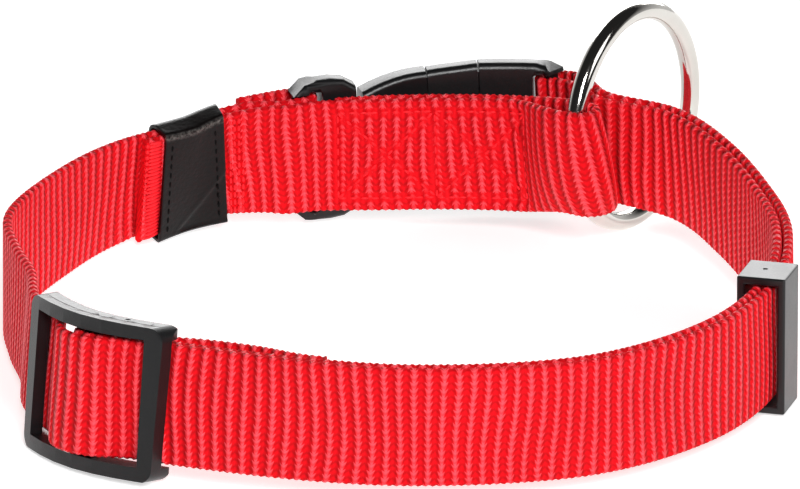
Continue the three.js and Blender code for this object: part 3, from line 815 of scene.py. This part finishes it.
# %% [markdown]
# ## Thread
# A stitch is a short stretch of plump thread whose ends dive into the webbing, so it is a small stretched
# ball, half sunk. A line of them is laid along a path on the strap's face. All stitches of one seam are
# joined in one mesh, and each has only a few dozen faces.

# %% Lay stitches
STITCHES = {
    "box": {"stitch": 1.6, "gap": 0.7, "radius": 0.27, "sink": BOX["depth"]},
    "bead": {"stitch": 1.1, "gap": 0.25, "radius": 0.55, "sink": 0.3},
    "column": {"stitch": 1.5, "gap": 0.35, "radius": 0.36},
    "sleeve": {"stitch": 1.7, "gap": 0.7, "radius": 0.24, "sink": 0.02},
}


def on_relief(run, up):
    """A place on the relief strap's front face and the direction out of it."""
    rows = np.argsort(RELIEF_UP[:FACE_ROWS])
    index = np.clip(run / STATION, 1, RELIEF_SHEET.shape[1] - 2)

    def at(i, height):
        line = RELIEF_SHEET[rows, int(i)] * (1 - i % 1) + RELIEF_SHEET[rows, int(i) + 1] * (i % 1)
        return np.array([np.interp(height, RELIEF_UP[rows], line[:, k]) for k in range(3)])

    face = unit_of(np.cross(at(index + 0.9, up) - at(index - 0.9, up),
                            at(index, up + 0.5) - at(index, up - 0.5)))
    return at(index, up) + face * WEB["thickness"] / 2, face


def lay_stitch(bm, surface, start, end, radius, sink=0.0):
    """One stitch between two places, sunk into the surface by the sink."""
    (a, face), (b, _) = surface(*start), surface(*end)
    run = Vector(b - a)
    turned = run.to_track_quat("X", "Z").to_matrix().to_4x4()
    size = Matrix.Diagonal((run.length / 2 * MM, radius * MM, radius * MM, 1))
    centre = Vector(in_frame((a + b) / 2 - face * sink))
    poles_at_ends = Matrix.Rotation(math.pi / 2, 4, "Y")
    bmesh.ops.create_uvsphere(bm, u_segments=8, v_segments=5, radius=1,
                              matrix=Matrix.Translation(centre) @ turned @ size @ poles_at_ends)


def sew_line(bm, surface, start, end, stitch, gap, radius, sink=0.0):
    """A row of stitches with gaps, made to fit a whole number of times."""
    count = max(1, round(math.dist(start, end) / (stitch + gap)))
    for k in range(count):
        a, b = (np.array(start) + (np.array(end) - start) * (k + s) / count
                for s in (0.06, stitch / (stitch + gap)))
        lay_stitch(bm, surface, a, b, radius, sink)


# %% [markdown]
# ### Three kinds of seam
# The box stitch is made of lines of single stitches. The cut end of the strap is whipped with long
# stitches across it, under one thick bead. Past the sleeve, four columns lie so close that they read as a
# bar tack.

# %% Sew the relief strap
REACH = 11.6
WHIPPED = {"from": 0.5, "to": 4.5, "apart": 0.86, "slant": 0.25, "radius": 0.42}
TACK = {"columns": 4, "start": 0.8, "apart": 0.95}
BEAD = {"at": 0.25, "reach": 11.8}


def relief_seams():
    bm = bmesh.new()
    for start, end in box_lines():
        sew_line(bm, on_relief, start, end, **STITCHES["box"])
    sew_line(bm, on_relief, (BEAD["at"], -BEAD["reach"]), (BEAD["at"], BEAD["reach"]), **STITCHES["bead"])
    for up in np.arange(-REACH, REACH + 0.1, WHIPPED["apart"]):
        lay_stitch(bm, on_relief, (WHIPPED["from"], up), (WHIPPED["to"], up + WHIPPED["slant"]),
                   WHIPPED["radius"])
    past_sleeve = RELIEF["start"] + SLEEVE["length"]
    for column in range(TACK["columns"]):
        start = past_sleeve + TACK["start"] + TACK["apart"] * column
        sew_line(bm, on_relief, (start, -REACH), (start, REACH), **STITCHES["column"])
    return finish_piece(bm, "box_stitch", THREAD, sharp=80)


box_stitch = relief_seams()


# %% [markdown]
# ## The slider
# The tri-glide is a bowed frame with two upright side bars, two rails and a round bar in the middle. Its
# CAD shape is right, so it is copied and its edges are rounded. What the mould leaves on its top face, a
# parting groove and the mark of an ejector pin, is modelled as separate shapes and cut out.

# %% Helpers for moulded pieces
def bend_onto_loop(bm, along):
    """Bends a piece that was modelled flat, X along the loop, Y out and Z up, in millimetres."""
    places = np.array([v.co for v in bm.verts])
    bent = in_frame(on_loop(along + places[:, 0], places[:, 1], places[:, 2]))
    for vert, place in zip(bm.verts, bent):
        vert.co = place


def slice_along(bm, cuts):
    """Cuts a flat piece across at each place, so that it can bend there."""
    for cut in cuts:
        everything = bm.verts[:] + bm.edges[:] + bm.faces[:]
        bmesh.ops.bisect_plane(bm, geom=everything, plane_co=(cut, 0, 0), plane_no=(1, 0, 0), dist=0.001)


def bevel_edges(bm, edges, offset, segments, clamp=True):
    bmesh.ops.bevel(bm, geom=edges, offset=offset, segments=segments, affect="EDGES", profile=0.5,
                    material=-1, clamp_overlap=clamp)


# %% [markdown]
# ### Carving
# bmesh has no Boolean operator, so the piece and its cutters become objects for a moment, the modifier
# does the cutting, and the result is read back. An ejector pin's mark is a round dimple, so its cutter is
# a short cylinder, half sunk in the face.

# %% Carve a piece with others
def carved(bm, *cutters):
    """What is left of a mesh when the shapes of the cutters are taken out of it."""
    parts = []
    for part in (bm, *cutters):
        bmesh.ops.recalc_face_normals(part, faces=part.faces)
        mesh = bpy.data.meshes.new("carving")
        part.to_mesh(mesh)
        part.free()
        parts.append(bpy.data.objects.new("carving", mesh))
        bpy.context.scene.collection.objects.link(parts[-1])
    for cutter in parts[1:]:
        cut = parts[0].modifiers.new("cut", "BOOLEAN")
        cut.object = cutter
    rest = bmesh.new()
    rest.from_object(parts[0], bpy.context.evaluated_depsgraph_get())
    for part in parts:
        bpy.data.meshes.remove(part.data)
    return rest


PIN = {"radius": 0.55, "depth": 0.3}


def pin_mark(place):
    """The cutter for a round dimple, in millimetres, its middle at the place."""
    bm = bmesh.new()
    bmesh.ops.create_cone(bm, cap_ends=True, segments=20, radius1=PIN["radius"], radius2=PIN["radius"],
                          depth=2 * PIN["depth"], matrix=Matrix.Translation(place))
    return bm


# %% [markdown]
# ### Rounding a copy of a CAD node
# A CAD mesh is loose triangles with knife-sharp edges. Points that coincide are merged, flat areas become
# one face each, and Bevel rounds what is still sharp. The long edges of the buckle get a wide radius
# first, but not near its ends, where a wide bevel would fold over itself.

# %% Round a copy of a CAD node
BUCKLE_CORE = {"inside_ends": 5, "along": 0.75, "off_middle": 10}
BUCKLE_CENTRE = in_frame(on_loop(AT["buckle"], 0, 0)) / MM


def sharp_edges(bm, angle=40):
    return [e for e in bm.edges if e.is_manifold and e.calc_face_angle(0) > math.radians(angle)]


def is_long(edge):
    """Whether an edge runs along the buckle's top or bottom, away from its two ends."""
    centre, _, middle = BUCKLE_CENTRE
    a, b = (v.co for v in edge.verts)
    inner = all(abs(v.x - centre) < BUCKLE["length"] / 2 - BUCKLE_CORE["inside_ends"] for v in (a, b))
    lengthwise = abs((a - b).normalized().x) > BUCKLE_CORE["along"]
    return inner and lengthwise and abs((a.z + b.z) / 2 - middle) > BUCKLE_CORE["off_middle"]


def rounded_copy(node, radius, *cutters, soft=0):
    """A copy with rounded edges; with soft, the edges along its top and bottom get that larger radius."""
    bm = bmesh.new()
    bm.from_mesh(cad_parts[node].data)
    bmesh.ops.scale(bm, verts=bm.verts, vec=(1 / MM,) * 3)
    bmesh.ops.remove_doubles(bm, verts=bm.verts, dist=0.005)
    bmesh.ops.dissolve_limit(bm, verts=bm.verts, edges=bm.edges, angle_limit=math.radians(1.5))
    if soft:
        bevel_edges(bm, [e for e in sharp_edges(bm) if is_long(e)], soft, 4, clamp=False)
    bevel_edges(bm, sharp_edges(bm), radius, 3)
    bmesh.ops.triangulate(bm, faces=[f for f in bm.faces if len(f.verts) > 4])
    bmesh.ops.scale(bm, verts=bm.verts, vec=(MM,) * 3)
    if cutters:
        bm = carved(bm, *cutters)
    return even_faces(finish_piece(bm, node, PLASTIC, replaces=[node], sharp=48))


# %% Make the slider
GROOVE = {"short_by": 3.4, "width": 0.22, "depth": 0.3, "out": 2.76}


def parting_groove():
    """The cutter for the line that the two halves of the mould leave, bent with the slider."""
    bm = bmesh.new()
    bmesh.ops.create_cube(bm, size=1)
    bmesh.ops.scale(bm, verts=bm.verts, vec=(GLIDE["length"] - GROOVE["short_by"], GROOVE["width"],
                                             3 * GROOVE["depth"]))
    bmesh.ops.translate(bm, verts=bm.verts, vec=(0, GROOVE["out"],
                                                 (GLIDE["height"] + GROOVE["depth"]) / 2))
    slice_along(bm, np.linspace(-15, 15, 13))
    bend_onto_loop(bm, AT["glide"])
    return bm


glide_pin = pin_mark((8.4, 1.25, GLIDE["height"] / 2))
bend_onto_loop(glide_pin, AT["glide"])
tri_glide = rounded_copy("tri_glide", 0.6, parting_groove(), glide_pin)


# %% [markdown]
# ## The keeper
# A short square tube that holds the layers of webbing together. A cube without its two ends becomes the
# outer skin, it is thickened inwards, and every rim is bevelled. An ejector pin left its mark on top.

# %% Make the keeper
def stand_at(along):
    """The matrix that stands a straight piece on the loop: X along it, Y out and Z up."""
    origin, out, up = (on_loop(along, o, u) for o, u in ((0, 0), (1, 0), (0, 1)))
    upward = Vector(up - origin).normalized()
    outward = Vector(out - origin).normalized()
    turned = Matrix((upward.cross(outward).normalized() * -1, outward, upward)).transposed()
    return Matrix.Translation(Vector(in_frame(origin))) @ turned.to_4x4() @ Matrix.Scale(MM, 4)


def keeper_piece():
    bm = bmesh.new()
    bmesh.ops.create_cube(bm, size=1)
    bmesh.ops.scale(bm, verts=bm.verts, vec=(KEEPER["length"], KEEPER["thickness"], KEEPER["height"]))
    bmesh.ops.delete(bm, geom=[f for f in bm.faces if abs(f.normal.x) > 0.5], context="FACES")
    bmesh.ops.recalc_face_normals(bm, faces=bm.faces)
    if sum(f.normal.dot(f.calc_center_median()) for f in bm.faces) < 0:
        bmesh.ops.reverse_faces(bm, faces=bm.faces)
    bmesh.ops.solidify(bm, geom=bm.faces[:], thickness=(KEEPER["height"] - PASSAGE) / 2)
    bmesh.ops.recalc_face_normals(bm, faces=bm.faces)
    bevel_edges(bm, sharp_edges(bm, 50), KEEPER["rounding"], 3)
    bmesh.ops.transform(bm, matrix=stand_at(AT["keeper"]), verts=bm.verts)
    pin = pin_mark((-0.4, -0.6, KEEPER["height"] / 2))
    bmesh.ops.transform(pin, matrix=stand_at(AT["keeper"]), verts=pin.verts)
    return even_faces(finish_piece(carved(bm, pin), "keeper", PLASTIC, replaces=["keeper"], sharp=48))


keeper = keeper_piece()


# %% [markdown]
# ## The sleeve
# A band of black vinyl is wrapped round both straps and sewn near its two side edges. Its outer skin is a
# grid wrapped round the webbing, with one softer corner and a slanting crease, because vinyl never lies
# quite flat. Solidify gives it its thickness and Bevel dulls its rims. Its UV map starts at the top fold
# on the side inside the loop, where a highlight is painted on in lighter streaks.

# %% Make the sleeve
CREASE = {"from": (3.0, -11.6), "to": (-8.6, 0.6), "step": 0.22, "ridge": 0.16, "width": 0.45}
HOLLOW = {"depth": 0.18, "width": 5.3}
SLEEVE_STEP = 0.5
SLEEVE_SLICES = 32
SLEEVE_OUT = WEB["thickness"] / 2 + LAYER + CLEARANCE + SLEEVE["wall"]
SLEEVE_UP = HALF_WIDTH + CLEARANCE + SLEEVE["wall"]


def sleeve_section():
    """Points round the band, as (out, up). The corner at the top of its outer side is softer."""
    points = []
    for k, (side, top, corner) in enumerate(((1, 1, 2.4), (-1, 1, 0.8), (-1, -1, 1.1), (1, -1, 1.1))):
        for angle in (math.pi / 2 * (k + step / 6) for step in range(7)):
            points.append((side * (SLEEVE_OUT - corner) + corner * math.cos(angle),
                           top * (SLEEVE_UP - corner) + corner * math.sin(angle)))
    return evenly(np.array(points + points[:1]), SLEEVE_STEP)[:-1]


def creased(run, up):
    """How far the face inside the loop is sunk: below a slanting crease the vinyl lies deeper."""
    (a, c), (b, d) = CREASE["from"], CREASE["to"]
    beside = ((b - a) * (up - c) - (d - c) * (run - a)) / math.hypot(b - a, d - c)
    below = 0.5 + 0.5 * math.tanh(beside / CREASE["width"])
    return CREASE["step"] * below - CREASE["ridge"] * math.exp(-(beside / CREASE["width"]) ** 2)


def sleeve_piece():
    outline = sleeve_section()
    rows = len(outline)
    fold = int(np.argmax(outline[:, 1] - outline[:, 0]))
    bm = bmesh.new()
    uv = bm.loops.layers.uv.new("UVMap")
    place = {}
    for vert, (i, j) in grid_stations(bm, SLEEVE_SLICES, rows).items():
        out, up = outline[j % rows]
        run = SLEEVE["length"] * (i / SLEEVE_SLICES - 0.5)
        sunk = 0
        if abs(up) < HALF_WIDTH:
            sunk = HOLLOW["depth"] * math.exp(-(run / HOLLOW["width"]) ** 2)
            sunk += creased(run, up) if out < 0 else 0
        place[vert] = (run, (j - fold) * SLEEVE_STEP)
        vert.co = in_frame(on_loop(AT["sleeve"] + run, out - LAYER - math.copysign(sunk, out), up))
    for corner in (corner for face in bm.faces for corner in face.loops):
        corner[uv].uv = place[corner.vert]
    bmesh.ops.remove_doubles(bm, verts=bm.verts, dist=NO_TWINS)
    bmesh.ops.recalc_face_normals(bm, faces=bm.faces)
    piece = finish_piece(bm, "sleeve_patch", VINYL, replaces=["sleeve_patch"], sharp=50)
    wall = piece.modifiers.new("wall", "SOLIDIFY")
    wall.thickness = (SLEEVE["wall"] - 0.1) * MM
    wall.offset = -1
    rim = piece.modifiers.new("rim", "BEVEL")
    rim.width = 0.15 * MM
    rim.segments = 2
    rim.limit_method = "ANGLE"
    rim.angle_limit = math.radians(60)
    return piece


sleeve_patch = sleeve_piece()


# %% Sew the sleeve
def on_sleeve(side):
    """The places on the sleeve's outer face, for side 1, or on the one inside the loop, for side -1."""
    def surface(run, up):
        near, far = (on_loop(AT["sleeve"] + run, -LAYER + side * (SLEEVE_OUT - step), up)
                     for step in (0, 1))
        return near, unit_of(near - far)

    return surface


def sleeve_seams():
    bm = bmesh.new()
    reach = SLEEVE["length"] / 2 - 1.9
    for side in (-1, 1):
        for run in (-reach, reach):
            sew_line(bm, on_sleeve(side), (run, -11.4), (run, 11.4), **STITCHES["sleeve"])
    return finish_piece(bm, "sleeve_stitch", BLACK_THREAD, sharp=80)


sleeve_stitch = sleeve_seams()


# %% [markdown]
# ## The buckle
# The two halves of the side-release buckle have the right shape in the CAD model already: the frame with
# its bar, the curved shell, and the prongs that spring out as buttons. They could be modelled again, but
# a rounded copy keeps every fit. The short edges stay crisp, as on the moulding.

# %% Make the buckle halves
buckle_female = rounded_copy("buckle_female", 0.1, soft=1.3)
buckle_male = rounded_copy("buckle_male", 0.1, soft=1.3)


# %% [markdown]
# ### Its rebates
# Where one half meets the other, a small step inside each seam keeps grit out. It could be cut into both
# halves, but a dark box set inside the seam shows the same, and without it light would shine through.

# %% Make the rebates
REBATE = {"from": 0.03, "to": 0.3, "thickness": 4.2, "height": 3.6, "in": 1}


def rebates():
    bm = bmesh.new()
    seam = BUCKLE["male"] - BUCKLE["length"] / 2
    button = seam + BUCKLE["button"]
    middle = (REBATE["from"] + REBATE["to"]) / 2
    for along, high in ((seam + middle, 14.4), (button - middle, 13.9)):
        for side in (-1, 1):
            box = bmesh.ops.create_cube(bm, size=1)["verts"]
            bmesh.ops.scale(bm, verts=box, vec=(REBATE["to"] - REBATE["from"], REBATE["thickness"],
                                                REBATE["height"]))
            bmesh.ops.translate(bm, verts=box, vec=(along, -REBATE["in"],
                                                    side * (high - REBATE["height"] / 2)))
    bend_onto_loop(bm, AT["buckle"])
    return finish_piece(bm, "buckle_rebates", PLASTIC)


buckle_rebates = rebates()


# %% [markdown]
# ## The ring
# Round steel wire, closed to a ring and welded. A torus would do, but a circle that is spun once round
# the ring's axis can be put straight where the webbing's fold needs it. The last copy is merged with the
# first.

# %% Make the ring
def ring_piece():
    bm = bmesh.new()
    wire = RING["wire"] / 2 * MM
    middle = (RING["inner"] + RING["wire"]) / 2 * MM
    bmesh.ops.create_circle(bm, segments=28, radius=wire)
    centre = Vector(in_frame(RING_CENTRE))
    out, axis = Vector(RING_OUT), Vector(RING_AXIS)
    turned = Matrix((out, axis, out.cross(axis))).transposed().to_4x4()
    bmesh.ops.transform(bm, matrix=Matrix.Translation(centre + out * middle) @ turned, verts=bm.verts)
    bmesh.ops.spin(bm, geom=bm.verts[:] + bm.edges[:], cent=centre, axis=axis, angle=2 * math.pi,
                   steps=128, use_merge=True)
    bmesh.ops.remove_doubles(bm, verts=bm.verts, dist=NO_TWINS)
    bmesh.ops.recalc_face_normals(bm, faces=bm.faces)
    return finish_piece(bm, "leash_ring", NICKEL, body="ring", replaces=["leash_ring"],
                        sharp=80)


leash_ring = ring_piece()


# %% [markdown]
# ## Floor, lights and camera
# A plain pale floor, large soft lights and a long lens, because the photograph shows hardly any
# perspective. The camera looks along +Y from 18.5 degrees above the floor.

# %% Floor
def grey(value):
    return (value, value, value)


def stage_floor():
    bm = bmesh.new()
    bmesh.ops.create_grid(bm, x_segments=1, y_segments=1, size=6)
    mesh = bpy.data.meshes.new("floor")
    bm.to_mesh(mesh)
    bm.free()
    material, nodes, shader = new_material("pale floor", Roughness=0.9, Specular_IOR_Level=0.1,
                                           Emission_Color=(1, 1, 1, 1), Emission_Strength=0.58)
    clouds = noise(nodes, nodes.new("ShaderNodeTexCoord").outputs["Object"], 3)
    link(nodes, ramp(nodes, clouds, [(0.3, grey(0.77)), (0.7, grey(0.79))]), shader.inputs["Base Color"])
    mesh.materials.append(material)
    floor = bpy.data.objects.new("floor", mesh)
    floor.location.z = cad_box[0][2]
    bpy.context.scene.collection.objects.link(floor)


stage_floor()


# %% Lights
def soft_light(name, place, target, size, power):
    data = bpy.data.lights.new(name, "AREA")
    data.shape = "RECTANGLE"
    data.size, data.size_y = size
    data.energy = power
    light = bpy.data.objects.new(name, data)
    light.location = place
    light.rotation_euler = (Vector(target) - Vector(place)).to_track_quat("-Z", "Y").to_euler()
    bpy.context.scene.collection.objects.link(light)


soft_light("key", (0.2, -1.7, 1.1), (0, 0, 0), (0.5, 0.8), 39)
soft_light("fill", (1.3, -0.6, 0.9), (0, 0, 0.02), (0.8, 0.8), 4.5)
soft_light("back", (0.1, 1.6, 0.6), (0, 0, 0.02), (2.0, 0.7), 22)
print("lights:", [light.name for light in bpy.data.lights])


# %% Studio walls
def studio_walls():
    """A world that is bright behind the collar and dim overhead and in front of it."""
    world = bpy.data.worlds.new("studio")
    world.use_nodes = True
    sky = world.node_tree.nodes
    direction = sky.new("ShaderNodeSeparateXYZ")
    link(sky, sky.new("ShaderNodeTexCoord").outputs["Generated"], direction.inputs[0])
    overhead = math_node(sky, "MAXIMUM", direction.outputs["Z"], 0)
    lit = math_node(sky, "MULTIPLY_ADD", overhead, -0.6, 0.5)
    lit = math_node(sky, "MULTIPLY_ADD", direction.outputs["Y"], 0.5, lit)
    link(sky, ramp(sky, lit, [(0.42, grey(0.03)), (0.75, grey(1))]), sky["Background"].inputs["Color"])
    sky["Background"].inputs["Strength"].default_value = 0.7
    bpy.context.scene.world = world


studio_walls()
bpy.context.scene.view_settings.view_transform = "Standard"

# %% Camera
ELEVATION = math.radians(18.5)
LENS = 720
SENSOR = 36
FRAME_WIDTH = 800
PIXELS_PER_MM = 4.84
DISTANCE = LENS / SENSOR * FRAME_WIDTH / PIXELS_PER_MM * MM
target = Vector(SHIFT) + Vector((0, 22, 16)) * MM
camera_data = bpy.data.cameras.new("camera")
camera_data.lens = LENS
camera_data.sensor_width = SENSOR
camera_data.clip_end = 50
camera = bpy.data.objects.new("camera", camera_data)
camera.location = target + Vector((0, -math.cos(ELEVATION), math.sin(ELEVATION))) * DISTANCE
camera.rotation_euler = Euler((math.pi / 2 - ELEVATION, 0, 0))
bpy.context.scene.collection.objects.link(camera)
bpy.context.scene.camera = camera
print("camera stands", round(DISTANCE, 2), "m away")

# %% [markdown]
# ## The end
# The view layer is updated once more. The finished pieces may stand only a little proud of the CAD
# model.

# %% Update the view layer
bpy.context.view_layer.update()
